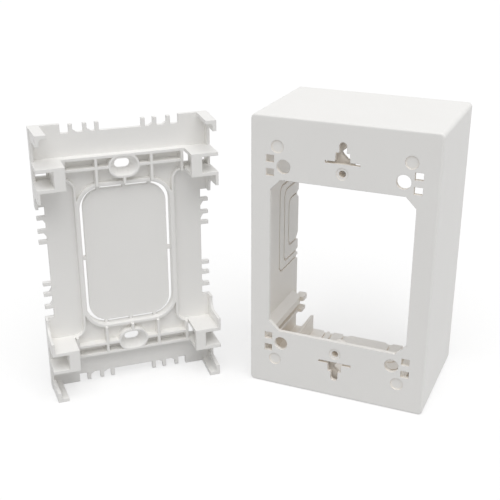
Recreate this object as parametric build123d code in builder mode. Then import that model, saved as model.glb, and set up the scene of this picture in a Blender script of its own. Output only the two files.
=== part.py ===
from build123d import *
from math import cos, radians, sin
import os

# Surface mount back box for one wiring device, shown opened: a deep cover and,
# beside it, the slim base plate that is screwed to the wall and that the cover
# is pushed over. Each of the two is one moulding.
# Millimetres, +Z up, the cover's face looks along -Y. Both pieces stand on Z = 0
# and the origin is on the floor under the middle of the pair.

# Spacing of the two device screws, and of the base plate's two wall screws
SCREW_SPACING = 83.34

# Cover, outside
COVER_WIDTH = 80.8
COVER_HEIGHT = 126.1
COVER_DEPTH = 55.0
WALL = 1.8
FACE = 2.0
CORNER_R = 2.0
INNER_R = 0.5
FRONT_R = 0.8

# Cover, face
OPENING_WIDTH = 62.9
OPENING_HEIGHT = 71.4
OPENING_CHAMFER = 4.6
DEVICE_HOLE_R = 1.5
DEVICE_RING_R = 2.6
DEVICE_RING_DEPTH = 0.3
DEVICE_BOSS_R = 3.1
DEVICE_BOSS_DEPTH = 7.0
T_SLOT_LENGTH = 15.0
T_SLOT_WIDTH = 1.0
T_SLOT_STEP = 4.6
STEM_WIDTH = 3.3
STEM_REACH = 13.4
FLARE_WIDTH = 6.6
FLARE_TOP_WIDTH = 6.0
FLARE_HEIGHT = 4.3
ROUND_HOLE_R = 3.1
ROUND_HOLE_X = 25.6
SQUARE_HOLE_WIDTH = 3.6
SQUARE_HOLE_HEIGHT = 3.2
SQUARE_HOLE_X = 31.65
SQUARE_HOLE_STEP = 6.0
DIMPLE_R = 2.8
DIMPLE_X = 28.4
DIMPLE_STEP = 8.4
DIMPLE_DEPTH = 0.5

# Raceway knockouts scored inside the cover's walls: half width and reach from the back
# edge, then where the nick at each end of the score starts and ends
RACEWAYS = [(21.6, 24.8, 21.8, 23.3), (18.2, 18.7, 17.9, 20.2), (12.0, 13.0, 9.0, 13.0)]
SCORE_WIDTH = 0.8
SCORE_DEPTH = 0.8
SCORE_CORNER_R = 3.5
NICK_LENGTH = 3.2

# Fit of the base plate inside the cover
SIDE_FIT = 0.15
LATCH_FIT = 0.4

# Base plate
PLATE = 2.0
LEG_HEIGHT = 17.4
LEG_LEAN = 0.8
LEG_ARM = 4.7
LEG_WALL = 1.6
LEG_R = 1.2
CORNER_BLOCK_X = 25.4
CORNER_BLOCK_Y = 26.0
EDGE_RECESS = 4.0
RIM_WALL = 1.2
RIM_HEIGHT = 5.0
RIB_WALL = 1.2
RIB_HEIGHT = 6.0
CROSS_RIB_X = 12.0
END_RIB_X = 25.5

# Breakaway teeth along the base plate's edges
TEETH = [9.9, 14.95, 20.95]
TOOTH_WIDTH = 1.6
TOOTH_SHORT = 0.4
RAMP_WIDTH = 1.9
RAMP_HEIGHT = 1.2

# Knockout panel in the middle of the base plate
PANEL_WIDTH = 36.8
PANEL_HEIGHT = 62.6
PANEL_R = 8.2
PANEL_GAP = 1.6
PANEL_RIM = 1.8
PANEL_RIM_HEIGHT = 4.2
PANEL_RIM_R = 0.5
PANEL_WEB = 1.4
PANEL_WEB_STEP = 11.3

# Ridge round the flat band on each side of the panel, a small step outside the panel's rim
BAND_RIDGE = 1.1
BAND_STEP = 0.3
BAND_R = 4.5

# Wall screw slots of the base plate
WALL_SLOT_LENGTH = 6.7
WALL_SLOT_WIDTH = 4.0
WALL_SLOT_FLOOR = 1.2
CUP_LENGTH = 11.8
CUP_WIDTH = 8.6
CUP_WALL = 0.9

# C shaped latch brackets of the base plate
BRACKET_INNER_Y = 36.8
BRACKET_OUTER_Y = 47.0
BRACKET_WALL = 1.5
BRACKET_HEIGHT = 17.0
BRACKET_FRONT_X = 26.6
BRACKET_WEB_X = 29.8
BRACKET_TAIL = 4.6
TAIL_R = 4.0
WINDOW_INSET = 1.0

# Latch ribs of the cover, on both sides of the brackets' outer flanges
LATCH_RIB_HEIGHT = 4.0
LATCH_RIB_WALL = 1.5
GUIDE_SLOPE = 3.0
TIP_LENGTH = 6.0
TIP_STEP = 1.9
TIP_WALL = 2.3
TIP_R = 1.1
TIP_DROP = 1.3

# Stop ribs of the cover, which the base plate's corners rest on
STOP_RIB_X = 29.1
STOP_RIB_WALL = 1.4
STOP_RIB_HEIGHT = 8.6

# Where the base plate stands beside the cover: the foot of its front left leg
# from the cover's front left foot, and its turn about the vertical
BASE_FOOT_X = -70.34
BASE_FOOT_Y = -54.27
BASE_TURN = 43.1

SCREW_Y = SCREW_SPACING / 2
INNER_X = COVER_WIDTH / 2 - WALL
INNER_Y = COVER_HEIGHT / 2 - WALL
BASE_X = INNER_X - SIDE_FIT
BASE_Y = INNER_Y - SIDE_FIT
EDGE_X = BASE_X - EDGE_RECESS
EDGE_Y = BASE_Y - EDGE_RECESS
PANEL_OUTER_WIDTH = PANEL_WIDTH + 2 * PANEL_GAP
PANEL_OUTER_HEIGHT = PANEL_HEIGHT + 2 * PANEL_GAP
RIM_OUTER_WIDTH = PANEL_OUTER_WIDTH + 2 * PANEL_RIM
RIM_OUTER_HEIGHT = PANEL_OUTER_HEIGHT + 2 * PANEL_RIM
WINDOW_TOP = BRACKET_OUTER_Y - BRACKET_WALL
WINDOW_BOTTOM = BRACKET_INNER_Y + BRACKET_WALL

# Depths behind the cover's face, with the base plate's back level with the cover's
STOP_DEPTH = COVER_DEPTH - PLATE - SIDE_FIT
LATCH_RIB_DEPTH = COVER_DEPTH - RIM_HEIGHT - LATCH_FIT
LATCH_RIB_X = INNER_X - LATCH_RIB_HEIGHT
TIP_X = LATCH_RIB_X - TIP_STEP
TIP_OUTER_X = BASE_X - RIM_WALL - LATCH_FIT
GUIDE_TOP = WINDOW_TOP - LATCH_FIT
GUIDE_BOTTOM = WINDOW_BOTTOM + LATCH_FIT
LATCH_RIB_Y = BRACKET_OUTER_Y + LATCH_FIT

# The pair's left and middle seen from above, for the origin under its middle
TURN_COS = cos(radians(BASE_TURN))
TURN_SIN = sin(radians(BASE_TURN))
LEFT_X = BASE_FOOT_X - LEG_HEIGHT * TURN_SIN
MIDDLE_X = (LEFT_X + COVER_WIDTH) / 2
MIDDLE_Y = (BASE_FOOT_Y + COVER_DEPTH) / 2

# Cover's frame: at the middle of its face, with X across, Y up and Z forward
COVER = Plane(
    origin=(COVER_WIDTH / 2 - MIDDLE_X, -MIDDLE_Y, COVER_HEIGHT / 2),
    x_dir=(1, 0, 0),
    z_dir=(0, -1, 0),
)

# Base plate's frame: at the middle of its back, with X across, Y up and Z forward
BASE = Plane(
    origin=(
        BASE_FOOT_X - MIDDLE_X + BASE_X * TURN_COS - LEG_HEIGHT * TURN_SIN,
        BASE_FOOT_Y - MIDDLE_Y + BASE_X * TURN_SIN + LEG_HEIGHT * TURN_COS,
        BASE_Y,
    ),
    x_dir=(TURN_COS, TURN_SIN, 0),
    z_dir=(TURN_SIN, -TURN_COS, 0),
)


def side_on(frame):
    """The plane through a frame's middle that looks along its X: sketch X is its Y, sketch Y its Z."""
    return Plane(origin=frame.origin, x_dir=frame.y_dir, z_dir=frame.x_dir)


def end_on(frame):
    """The plane through a frame's middle that looks along its Y: sketch X is its X, sketch Y its depth."""
    return Plane(origin=frame.origin, x_dir=frame.x_dir, z_dir=frame.y_dir)


def span(x0, x1, y0, y1, mode=Mode.ADD):
    """A rectangle of the current sketch between two X values and two Y values."""
    with Locations(((x0 + x1) / 2, (y0 + y1) / 2)):
        Rectangle(x1 - x0, y1 - y0, mode=mode)


def mirror_four():
    """Repeat the current sketch left to right and top to bottom."""
    mirror(about=Plane.YZ)
    mirror(about=Plane.XZ)


def wall_insides():
    """The inside of each of the cover's four walls, at the back edge: sketch Y is forward."""
    back = COVER.origin - COVER.z_dir * COVER_DEPTH
    for outward, along, inside in (
        (COVER.x_dir, COVER.y_dir, INNER_X),
        (-COVER.x_dir, -COVER.y_dir, INNER_X),
        (COVER.y_dir, -COVER.x_dir, INNER_Y),
        (-COVER.y_dir, COVER.x_dir, INNER_Y),
    ):
        yield Plane(origin=back + outward * inside, x_dir=along, z_dir=outward)


# Cover
with BuildPart() as box_cover:
    # One corner's stop rib, guide rib and latch rib, then the other three corners'
    with BuildSketch(COVER.offset(-FACE)):
        span(
            STOP_RIB_X - STOP_RIB_WALL / 2,
            STOP_RIB_X + STOP_RIB_WALL / 2,
            INNER_Y - STOP_RIB_HEIGHT,
            INNER_Y,
        )
    extrude(amount=FACE - STOP_DEPTH)
    with BuildSketch(COVER.offset(-FACE)):
        Polygon(
            (INNER_X, GUIDE_BOTTOM),
            (INNER_X, GUIDE_TOP),
            (LATCH_RIB_X, GUIDE_TOP),
            (LATCH_RIB_X, GUIDE_BOTTOM + GUIDE_SLOPE),
            align=None,
        )
        span(LATCH_RIB_X, INNER_X, LATCH_RIB_Y, LATCH_RIB_Y + LATCH_RIB_WALL)
    extrude(amount=FACE - LATCH_RIB_DEPTH)
    for tip_y, tip_wall, tip_depth in (
        (GUIDE_TOP - TIP_DROP - TIP_WALL, TIP_WALL, COVER_DEPTH - SIDE_FIT),
        (LATCH_RIB_Y, LATCH_RIB_WALL, STOP_DEPTH),
    ):
        with BuildSketch(end_on(COVER).offset(tip_y)) as tip:
            span(TIP_X, TIP_OUTER_X, tip_depth - TIP_LENGTH, tip_depth)
            fillet(tip.vertices().group_by(Axis.X)[0], TIP_R)
        extrude(amount=tip_wall)
    mirror(about=side_on(COVER))
    mirror(about=end_on(COVER))

    # Screw bosses behind the face
    with BuildSketch(COVER.offset(-FACE)):
        with GridLocations(0, SCREW_SPACING, 1, 2):
            Circle(DEVICE_BOSS_R)
    extrude(amount=-DEVICE_BOSS_DEPTH)

    # Face and walls, open at the back
    with BuildSketch(COVER):
        RectangleRounded(COVER_WIDTH, COVER_HEIGHT, CORNER_R)
        RectangleRounded(2 * INNER_X, 2 * INNER_Y, INNER_R, mode=Mode.SUBTRACT)
    extrude(amount=-COVER_DEPTH)
    with BuildSketch(COVER):
        RectangleRounded(COVER_WIDTH, COVER_HEIGHT, CORNER_R)
    extrude(amount=-FACE)
    front = box_cover.faces().sort_by(Axis.Y)[0]
    fillet(front.edges(), FRONT_R)

    # Opening for the wiring device and the holes above and below it
    with BuildSketch(COVER):
        opening = Rectangle(OPENING_WIDTH, OPENING_HEIGHT)
        chamfer(opening.vertices(), OPENING_CHAMFER)
        with GridLocations(2 * ROUND_HOLE_X, SCREW_SPACING, 2, 2):
            Circle(ROUND_HOLE_R)
        for row_step in (-SQUARE_HOLE_STEP / 2, SQUARE_HOLE_STEP / 2):
            with GridLocations(2 * SQUARE_HOLE_X, SCREW_SPACING + 2 * row_step, 2, 2):
                Rectangle(SQUARE_HOLE_WIDTH, SQUARE_HOLE_HEIGHT)
    extrude(amount=-FACE, mode=Mode.SUBTRACT)

    # T slots, each a long slit with a flared foot and a round ended stem
    slit_y = SCREW_Y + T_SLOT_STEP
    stem_end_y = SCREW_Y + STEM_REACH - STEM_WIDTH / 2
    with BuildSketch(COVER):
        with Locations((0, slit_y)):
            Rectangle(T_SLOT_LENGTH, T_SLOT_WIDTH)
        Polygon(
            (-FLARE_WIDTH / 2, slit_y),
            (FLARE_WIDTH / 2, slit_y),
            (FLARE_TOP_WIDTH / 2, slit_y + FLARE_HEIGHT),
            (-FLARE_TOP_WIDTH / 2, slit_y + FLARE_HEIGHT),
            align=None,
        )
        span(-STEM_WIDTH / 2, STEM_WIDTH / 2, slit_y, stem_end_y)
        with Locations((0, stem_end_y)):
            Circle(STEM_WIDTH / 2)
        mirror(about=Plane.XZ)
    extrude(amount=-FACE, mode=Mode.SUBTRACT)

    # Device screw holes with a shallow ring, and a dimple near each corner
    with BuildSketch(COVER):
        with GridLocations(0, SCREW_SPACING, 1, 2):
            Circle(DEVICE_HOLE_R)
    extrude(amount=-FACE - DEVICE_BOSS_DEPTH, mode=Mode.SUBTRACT)
    with BuildSketch(COVER):
        with GridLocations(0, SCREW_SPACING, 1, 2):
            Circle(DEVICE_RING_R)
    extrude(amount=-DEVICE_RING_DEPTH, mode=Mode.SUBTRACT)
    with BuildSketch(COVER):
        with GridLocations(2 * DIMPLE_X, SCREW_SPACING + 2 * DIMPLE_STEP, 2, 2):
            Circle(DIMPLE_R)
    extrude(amount=-DIMPLE_DEPTH, mode=Mode.SUBTRACT)

    # Knockouts of three raceway sizes scored inside each wall, with a nick at each score's end
    for inside in wall_insides():
        with BuildSketch(inside):
            for half_width, reach, nick_start, nick_end in RACEWAYS:
                RectangleRounded(
                    2 * half_width + SCORE_WIDTH,
                    2 * reach + SCORE_WIDTH,
                    SCORE_CORNER_R + SCORE_WIDTH / 2,
                )
                RectangleRounded(
                    2 * half_width - SCORE_WIDTH,
                    2 * reach - SCORE_WIDTH,
                    SCORE_CORNER_R - SCORE_WIDTH / 2,
                    mode=Mode.SUBTRACT,
                )
            for half_width, reach, nick_start, nick_end in RACEWAYS:
                for way in (-1, 1):
                    Polygon(
                        (way * nick_start, 0),
                        (way * half_width, NICK_LENGTH),
                        (way * nick_end, 0),
                        align=None,
                    )
        extrude(amount=SCORE_DEPTH, mode=Mode.SUBTRACT)

# Base plate
with BuildPart() as base_plate:
    # One corner's leg, which leans in a little, then its side wall, low with a tall tail
    # beside the bracket, then the other three corners'
    for level, leg_x in ((0, BASE_X), (LEG_HEIGHT, BASE_X - LEG_LEAN)):
        with BuildSketch(BASE.offset(level)) as leg:
            span(leg_x - LEG_ARM, leg_x, BASE_Y - LEG_ARM, BASE_Y)
            span(leg_x - LEG_ARM, leg_x - LEG_WALL, BASE_Y - LEG_ARM, BASE_Y - LEG_WALL, mode=Mode.SUBTRACT)
            fillet(leg.vertices().sort_by_distance((leg_x - LEG_WALL, BASE_Y - LEG_WALL))[0], LEG_R)
    loft()
    tail_y = BRACKET_INNER_Y - BRACKET_TAIL
    with BuildSketch(side_on(BASE).offset(BASE_X - RIM_WALL)) as side:
        with BuildLine():
            Polyline(
                (CORNER_BLOCK_Y, 0),
                (BASE_Y, 0),
                (BASE_Y, RIM_HEIGHT),
                (WINDOW_BOTTOM, RIM_HEIGHT),
                (WINDOW_BOTTOM, BRACKET_HEIGHT),
                (tail_y, BRACKET_HEIGHT),
                (tail_y, RIM_HEIGHT),
                (CORNER_BLOCK_Y, RIM_HEIGHT),
                close=True,
            )
        make_face()
        fillet(side.vertices().sort_by_distance((tail_y, RIM_HEIGHT))[0], TAIL_R)
    extrude(amount=RIM_WALL)
    mirror(about=side_on(BASE))
    mirror(about=end_on(BASE))

    # Plate with full corners and, between them, a set back edge with ramped teeth
    with BuildSketch(BASE):
        span(0, EDGE_X, 0, EDGE_Y)
        span(CORNER_BLOCK_X, BASE_X, CORNER_BLOCK_Y, BASE_Y)
        for tooth in TEETH:
            span(tooth - TOOTH_WIDTH / 2, tooth + TOOTH_WIDTH / 2, EDGE_Y, BASE_Y - TOOTH_SHORT)
            span(EDGE_X, BASE_X - TOOTH_SHORT, tooth - TOOTH_WIDTH / 2, tooth + TOOTH_WIDTH / 2)
        for foot in [tooth - TOOTH_WIDTH / 2 for tooth in TEETH[1:]]:
            Polygon(
                (foot - RAMP_WIDTH, EDGE_Y),
                (foot, EDGE_Y),
                (foot, EDGE_Y + RAMP_HEIGHT),
                align=None,
            )
            Polygon(
                (EDGE_X, foot - RAMP_WIDTH),
                (EDGE_X, foot),
                (EDGE_X + RAMP_HEIGHT, foot),
                align=None,
            )
        mirror_four()
    extrude(amount=PLATE)

    # Rim round the knockout panel, and the ridges that turn from it to the brackets
    rim_x = RIM_OUTER_WIDTH / 2
    band_width = 2 * (BASE_X - rim_x - BAND_STEP)
    with BuildSketch(BASE):
        with Locations((BASE_X, 0)):
            RectangleRounded(
                band_width + 2 * BAND_RIDGE,
                2 * (BRACKET_INNER_Y + BAND_RIDGE),
                BAND_R + BAND_RIDGE,
            )
            RectangleRounded(band_width, 2 * BRACKET_INNER_Y, BAND_R, mode=Mode.SUBTRACT)
        mirror(about=Plane.YZ)
        span(-BRACKET_WEB_X, BRACKET_WEB_X, -BASE_Y, BASE_Y, mode=Mode.INTERSECT)
        RectangleRounded(RIM_OUTER_WIDTH, RIM_OUTER_HEIGHT, PANEL_R + PANEL_GAP + PANEL_RIM)
        RectangleRounded(PANEL_OUTER_WIDTH, PANEL_OUTER_HEIGHT, PANEL_R + PANEL_GAP, mode=Mode.SUBTRACT)
    extrude(amount=PANEL_RIM_HEIGHT)
    rim_top = base_plate.faces(Select.LAST).sort_by(Axis(BASE.origin, BASE.z_dir))[-1]
    fillet(rim_top.edges(), PANEL_RIM_R)

    # Ribs above and below the panel, and the walls of the screw cups
    rim_y = RIM_OUTER_HEIGHT / 2 - PANEL_RIM / 2
    shelf_y = BRACKET_OUTER_Y - RIB_WALL
    half_rib = RIB_WALL / 2
    with BuildSketch(BASE):
        span(0, BRACKET_FRONT_X, shelf_y, BRACKET_OUTER_Y)
        span(0, END_RIB_X, SCREW_Y - half_rib, SCREW_Y + half_rib)
        span(0, half_rib, rim_y, SCREW_Y)
        span(CROSS_RIB_X - half_rib, CROSS_RIB_X + half_rib, rim_y, BRACKET_OUTER_Y)
        span(END_RIB_X - half_rib, END_RIB_X + half_rib, BRACKET_INNER_Y, BRACKET_OUTER_Y)
        with Locations((0, SCREW_Y)):
            SlotOverall(CUP_LENGTH + 2 * CUP_WALL, CUP_WIDTH + 2 * CUP_WALL)
        mirror_four()
    extrude(amount=RIB_HEIGHT)

    # Latch brackets, each a C that opens outward, with a front wall towards the middle
    bracket_back_x = BRACKET_WEB_X + BRACKET_WALL
    with BuildSketch(BASE):
        span(BRACKET_FRONT_X, BASE_X, WINDOW_TOP, BRACKET_OUTER_Y)
        span(BRACKET_WEB_X, bracket_back_x, BRACKET_INNER_Y, BRACKET_OUTER_Y)
        span(BRACKET_FRONT_X, BASE_X, BRACKET_INNER_Y, WINDOW_BOTTOM)
        mirror_four()
    extrude(amount=BRACKET_HEIGHT)
    with BuildSketch(BASE.offset(BRACKET_HEIGHT)):
        span(BRACKET_FRONT_X, bracket_back_x, BRACKET_INNER_Y, BRACKET_OUTER_Y)
        mirror_four()
    extrude(amount=-BRACKET_WALL)

    # Windows in the plate, behind each front wall and inside each C
    with BuildSketch(BASE):
        span(BRACKET_FRONT_X, BRACKET_WEB_X, WINDOW_BOTTOM + WINDOW_INSET, WINDOW_TOP)
        span(TIP_X - LATCH_FIT, BASE_X - RIM_WALL, WINDOW_BOTTOM + WINDOW_INSET, WINDOW_TOP)
        mirror_four()
    extrude(amount=PLATE, mode=Mode.SUBTRACT)

    # Narrow gap round the knockout panel, bridged by breakable webs
    with BuildSketch(BASE):
        RectangleRounded(PANEL_OUTER_WIDTH, PANEL_OUTER_HEIGHT, PANEL_R + PANEL_GAP)
        RectangleRounded(PANEL_WIDTH, PANEL_HEIGHT, PANEL_R, mode=Mode.SUBTRACT)
        with GridLocations(PANEL_WEB_STEP, 0, 3, 1):
            Rectangle(PANEL_WEB, PANEL_OUTER_HEIGHT, mode=Mode.SUBTRACT)
        Rectangle(PANEL_OUTER_WIDTH, PANEL_WEB, mode=Mode.SUBTRACT)
    extrude(amount=PLATE, mode=Mode.SUBTRACT)

    # Wall screw slots, each at the bottom of a tapered cup
    for slot_y in (-SCREW_Y, SCREW_Y):
        with BuildSketch(BASE.offset(RIB_HEIGHT)):
            with Locations((0, slot_y)):
                SlotOverall(CUP_LENGTH, CUP_WIDTH)
        with BuildSketch(BASE.offset(WALL_SLOT_FLOOR)):
            with Locations((0, slot_y)):
                SlotOverall(WALL_SLOT_LENGTH, WALL_SLOT_WIDTH)
        loft(mode=Mode.SUBTRACT)
    with BuildSketch(BASE):
        with GridLocations(0, SCREW_SPACING, 1, 2):
            SlotOverall(WALL_SLOT_LENGTH, WALL_SLOT_WIDTH)
    extrude(amount=WALL_SLOT_FLOOR, mode=Mode.SUBTRACT)

box_cover.part.label = "box_cover"
base_plate.part.label = "base_plate"

os.makedirs("parts", exist_ok=True)
export_step(box_cover.part, "parts/box_cover.step")
export_step(base_plate.part, "parts/base_plate.step")
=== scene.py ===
from math import radians

import bmesh
import bpy
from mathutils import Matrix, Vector


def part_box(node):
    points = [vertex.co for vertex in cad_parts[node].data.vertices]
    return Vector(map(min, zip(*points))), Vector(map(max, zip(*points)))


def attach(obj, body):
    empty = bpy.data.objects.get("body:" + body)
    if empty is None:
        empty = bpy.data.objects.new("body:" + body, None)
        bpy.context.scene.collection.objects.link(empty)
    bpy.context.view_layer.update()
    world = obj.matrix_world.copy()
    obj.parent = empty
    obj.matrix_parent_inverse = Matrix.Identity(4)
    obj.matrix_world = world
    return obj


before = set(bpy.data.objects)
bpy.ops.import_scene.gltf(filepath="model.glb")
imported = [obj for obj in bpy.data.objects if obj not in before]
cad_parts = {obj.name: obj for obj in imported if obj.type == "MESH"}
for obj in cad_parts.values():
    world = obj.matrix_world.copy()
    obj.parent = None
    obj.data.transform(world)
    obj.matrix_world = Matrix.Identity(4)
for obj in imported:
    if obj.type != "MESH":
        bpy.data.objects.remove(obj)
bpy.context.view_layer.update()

# Lengths in metres, angles in degrees
MM = 0.001

# The photograph's camera
CAMERA_PLACE = Vector((146.12, -338.92, 219.09)) * MM
CAMERA_PITCH = 22.73
CAMERA_TURN = 23.29
CAMERA_LENS = 65.42
CAMERA_NEAREST = 10 * MM
SENSOR_WIDTH = 36.0

# Webs seen through the cover's two T slots: a plate with a notch in its right side, and a wall
# on its left that joins it to the cover's face. Near and far are depths behind that face.
# The outlines are in millimetres, across from the cover's middle line and away from the
# opening, starting at the device screw beside the slot
WEB_OUTLINE = [
    (-7.4, 19.7), (6.4, 19.7), (6.4, 13.0), (2.6, 12.0), (0.4, 10.1), (-1.7, 8.3),
    (-0.3, 6.7), (1.2, 5.4), (3.4, 4.4), (4.4, 2.6), (-7.4, 2.6),
]
WEB_NEAR = 4.0 * MM
WEB_FAR = 5.4 * MM
WEB_WALL = [(-7.2, 19.5), (-6.1, 19.5), (-6.1, 2.8), (-7.2, 2.8)]
WEB_WALL_NEAR = 1.8 * MM
WEB_WALL_FAR = 4.7 * MM
WEB_PARTS = ((WEB_OUTLINE, WEB_NEAR, WEB_FAR), (WEB_WALL, WEB_WALL_NEAR, WEB_WALL_FAR))
WEB_BEVEL = 0.2 * MM
WEB_BEVEL_STEPS = 2
SCREW_RISE = 41.67 * MM

# Moulded plastic: a slightly mottled colour on open faces, and painted light in recesses. On the
# cover it is a warmer colour, standing in for light that bounces in them and comes through the thin
# walls. On the base plate it is a lighter one, standing in for light that bounces between its ribs.
# The open colour is full where the given share of the surroundings is free within the recess depth,
# so the web, with a share above one, keeps mostly the cover's painted recess light
PLASTIC = (0.885, 0.877, 0.859)
PLASTIC_DARKER = (0.867, 0.858, 0.839)
COVER_RECESS_PAINTED_LIGHT = (0.95, 0.88, 0.79)
COVER_RECESS_DEPTH = 60 * MM
COVER_OPEN = 1.0
WEB_OPEN = 4.0
# Painted light in the base plate's recesses: a lighter, warmer colour than its open faces, standing in
# for light that bounces between its ribs
BASE_RECESS_PAINTED_LIGHT = (0.97, 0.955, 0.92)
BASE_RECESS_DEPTH = 12 * MM
BASE_OPEN = 0.6
PLASTIC_ROUGHNESS = 0.42
ROUGHNESS_SPREAD = 0.06
PLASTIC_IOR = 1.49

# Its relief: softened edges, fine spark grain and faint sink marks
EDGE_RADIUS = 0.35 * MM
EDGE_SAMPLES = 6
GRAIN_SIZE = 0.35 * MM
GRAIN_HEIGHT = 0.012 * MM
GRAIN_DETAIL = 3.0
GRAIN_ROUGHNESS = 0.6
SINK_SIZE = 14 * MM
SINK_HEIGHT = 0.05 * MM
SINK_DETAIL = 1.0
SINK_ROUGHNESS = 0.5

# Studio: a wide soft lamp above and in front, an even sky and a white floor. The camera sees
# the floor as half paper and half glow, which keeps it white and its shadow faint
SKY_SEEN = 1.0
SKY_STRENGTH = 0.5
LAMP_DIRECTION = Vector((0.21, -0.29, 0.85)).normalized()
LAMP_STRENGTH = 1.68
LAMP_SPREAD = 60.0
FLOOR_SIZE = 12.0
FLOOR_SEEN = 0.5
FLOOR_GLOW = 0.52
FLOOR_BOUNCE = 0.58


def add_object(name, data):
    """A new object in the scene."""
    thing = bpy.data.objects.new(name, data)
    bpy.context.scene.collection.objects.link(thing)
    return thing


def new_material(name):
    """A node material with its own nodes, links and main shader."""
    material = bpy.data.materials.new(name)
    material.use_nodes = True
    tree = material.node_tree
    return material, tree.nodes, tree.links, tree.nodes["Principled BSDF"]


def noise(nodes, links, coordinates, size, detail, roughness):
    """A noise texture whose bumps are about one size across, in metres."""
    node = nodes.new("ShaderNodeTexNoise")
    node.inputs["Scale"].default_value = 1.0 / size
    node.inputs["Detail"].default_value = detail
    node.inputs["Roughness"].default_value = roughness
    links.new(coordinates, node.inputs["Vector"])
    return node.outputs["Fac"]


def bump(nodes, links, height, distance, normal):
    """A bump of a given height in metres, on top of another normal."""
    node = nodes.new("ShaderNodeBump")
    node.inputs["Distance"].default_value = distance
    links.new(height, node.inputs["Height"])
    links.new(normal, node.inputs["Normal"])
    return node.outputs["Normal"]


def mix_colours(nodes, links, factor, first, second):
    """Two colours mixed by a factor, each given as numbers or as a socket."""
    node = nodes.new("ShaderNodeMix")
    node.data_type = "RGBA"
    sockets = {socket.name: socket for socket in node.inputs if socket.enabled}
    for name, colour in (("A", first), ("B", second)):
        if isinstance(colour, bpy.types.NodeSocket):
            links.new(colour, sockets[name])
        else:
            sockets[name].default_value = (*colour, 1.0)
    links.new(factor, sockets["Factor"])
    return next(socket for socket in node.outputs if socket.enabled)


def moulded_plastic(name, recess_painted_light, recess_depth, open_level):
    """Off white plastic with its grain, sink marks, soft edges, mottle and painted light in its
    recesses.
    """
    material, nodes, links, shader = new_material(name)
    place = nodes.new("ShaderNodeTexCoord").outputs["Object"]
    sinks = noise(nodes, links, place, SINK_SIZE, SINK_DETAIL, SINK_ROUGHNESS)
    grain = noise(nodes, links, place, GRAIN_SIZE, GRAIN_DETAIL, GRAIN_ROUGHNESS)

    edges = nodes.new("ShaderNodeBevel")
    edges.samples = EDGE_SAMPLES
    edges.inputs["Radius"].default_value = EDGE_RADIUS
    normal = bump(nodes, links, sinks, SINK_HEIGHT, edges.outputs["Normal"])
    normal = bump(nodes, links, grain, GRAIN_HEIGHT, normal)
    links.new(normal, shader.inputs["Normal"])

    # Painted light: where little of the surroundings is free, the surface takes the recess colour,
    # which stands in for light bouncing in the hollows
    free_share = nodes.new("ShaderNodeAmbientOcclusion")
    free_share.only_local = True
    free_share.inputs["Distance"].default_value = recess_depth
    openness = nodes.new("ShaderNodeMapRange")
    openness.inputs["From Max"].default_value = open_level
    links.new(free_share.outputs["AO"], openness.inputs["Value"])
    open_face = mix_colours(nodes, links, sinks, PLASTIC, PLASTIC_DARKER)
    colour = mix_colours(nodes, links, openness.outputs["Result"], recess_painted_light, open_face)
    links.new(colour, shader.inputs["Base Color"])

    gloss = nodes.new("ShaderNodeMapRange")
    gloss.inputs["To Min"].default_value = PLASTIC_ROUGHNESS - ROUGHNESS_SPREAD
    gloss.inputs["To Max"].default_value = PLASTIC_ROUGHNESS + ROUGHNESS_SPREAD
    links.new(grain, gloss.inputs["Value"])
    links.new(gloss.outputs["Result"], shader.inputs["Roughness"])
    shader.inputs["IOR"].default_value = PLASTIC_IOR
    return material


def dress_node(node, finish):
    """Give a moulding its plastic in every material slot."""
    for slot in bpy.data.objects[node].material_slots:
        slot.material = finish


def build_web(name, way, finish):
    """The notched web behind a T slot, above the opening where way is 1 and below where it is -1."""
    low, high = (Vector(corner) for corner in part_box("box_cover"))
    middle = (low + high) / 2
    shape = bmesh.new()
    for outline, near, far in WEB_PARTS:
        corners = []
        for x, z in outline:
            height = middle.z + way * (SCREW_RISE + z * MM)
            corners.append(shape.verts.new((middle.x + x * MM, low.y + near, height)))
        pulled = bmesh.ops.extrude_face_region(shape, geom=[shape.faces.new(corners)])
        moved = [item for item in pulled["geom"] if isinstance(item, bmesh.types.BMVert)]
        bmesh.ops.translate(shape, verts=moved, vec=(0, far - near, 0))
    edges = shape.edges[:]
    bmesh.ops.bevel(shape, geom=edges, offset=WEB_BEVEL, segments=WEB_BEVEL_STEPS, affect="EDGES")
    bmesh.ops.recalc_face_normals(shape, faces=shape.faces[:])
    mesh = bpy.data.meshes.new(name)
    shape.to_mesh(mesh)
    shape.free()
    mesh.materials.append(finish)
    web = add_object(name, mesh)
    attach(web, "root")


def seen_or_bounced(nodes, links, seen, bounced):
    """A grey that camera, glossy and transmission rays see, and another for light that bounces."""
    path = nodes.new("ShaderNodeLightPath")
    direct = path.outputs["Is Camera Ray"]
    for ray in ("Is Glossy Ray", "Is Transmission Ray"):
        either = nodes.new("ShaderNodeMath")
        either.operation = "MAXIMUM"
        links.new(direct, either.inputs[0])
        links.new(path.outputs[ray], either.inputs[1])
        direct = either.outputs["Value"]
    return mix_colours(nodes, links, direct, [bounced] * 3, [seen] * 3)


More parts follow.
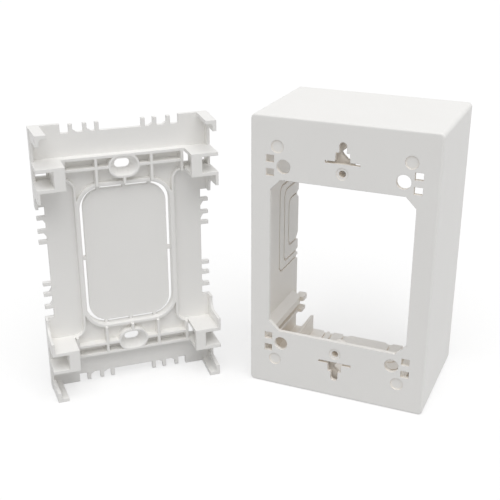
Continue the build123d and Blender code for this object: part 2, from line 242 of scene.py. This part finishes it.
def build_floor():
    """A white floor that glows a little for the camera and keeps the object's shadow."""
    mesh = bpy.data.meshes.new("floor")
    half = FLOOR_SIZE / 2
    corners = [(-half, -half, 0), (half, -half, 0), (half, half, 0), (-half, half, 0)]
    mesh.from_pydata(corners, [], [(0, 1, 2, 3)])
    floor = add_object("floor", mesh)
    material, nodes, links, shader = new_material("floor_paper")
    links.new(seen_or_bounced(nodes, links, FLOOR_SEEN, FLOOR_BOUNCE), shader.inputs["Base Color"])
    links.new(seen_or_bounced(nodes, links, FLOOR_GLOW, 0.0), shader.inputs["Emission Color"])
    shader.inputs["Emission Strength"].default_value = 1.0
    shader.inputs["Roughness"].default_value = 1.0
    shader.inputs["Specular IOR Level"].default_value = 0.0
    mesh.materials.append(material)


def build_sky():
    """An even sky, plain white where the camera sees it."""
    world = bpy.data.worlds.new("studio")
    bpy.context.scene.world = world
    world.use_nodes = True
    nodes, links = world.node_tree.nodes, world.node_tree.links
    background = nodes["Background"]
    links.new(seen_or_bounced(nodes, links, SKY_SEEN, SKY_STRENGTH), background.inputs["Color"])


def build_lamp():
    """One wide soft lamp, far enough away to light the whole floor evenly."""
    light = bpy.data.lights.new("softbox", "SUN")
    light.energy = LAMP_STRENGTH
    light.angle = radians(LAMP_SPREAD)
    lamp = add_object("softbox", light)
    lamp.rotation_euler = LAMP_DIRECTION.to_track_quat("Z", "Y").to_euler()


def build_camera():
    """The photograph's camera."""
    camera = bpy.data.cameras.new("camera")
    camera.lens = CAMERA_LENS
    camera.sensor_width = SENSOR_WIDTH
    camera.clip_start = CAMERA_NEAREST
    holder = add_object("camera", camera)
    holder.location = CAMERA_PLACE
    holder.rotation_euler = (radians(90 - CAMERA_PITCH), 0, radians(CAMERA_TURN))
    bpy.context.scene.camera = holder


dress_node("box_cover", moulded_plastic("cover_plastic", COVER_RECESS_PAINTED_LIGHT, COVER_RECESS_DEPTH, COVER_OPEN))
dress_node("base_plate", moulded_plastic("base_plastic", BASE_RECESS_PAINTED_LIGHT, BASE_RECESS_DEPTH, BASE_OPEN))
web_plastic = moulded_plastic("web_plastic", COVER_RECESS_PAINTED_LIGHT, COVER_RECESS_DEPTH, WEB_OPEN)
build_web("t_slot_web_upper", 1, web_plastic)
build_web("t_slot_web_lower", -1, web_plastic)
build_floor()
build_sky()
build_lamp()
build_camera()
bpy.context.scene.view_settings.view_transform = "Standard"
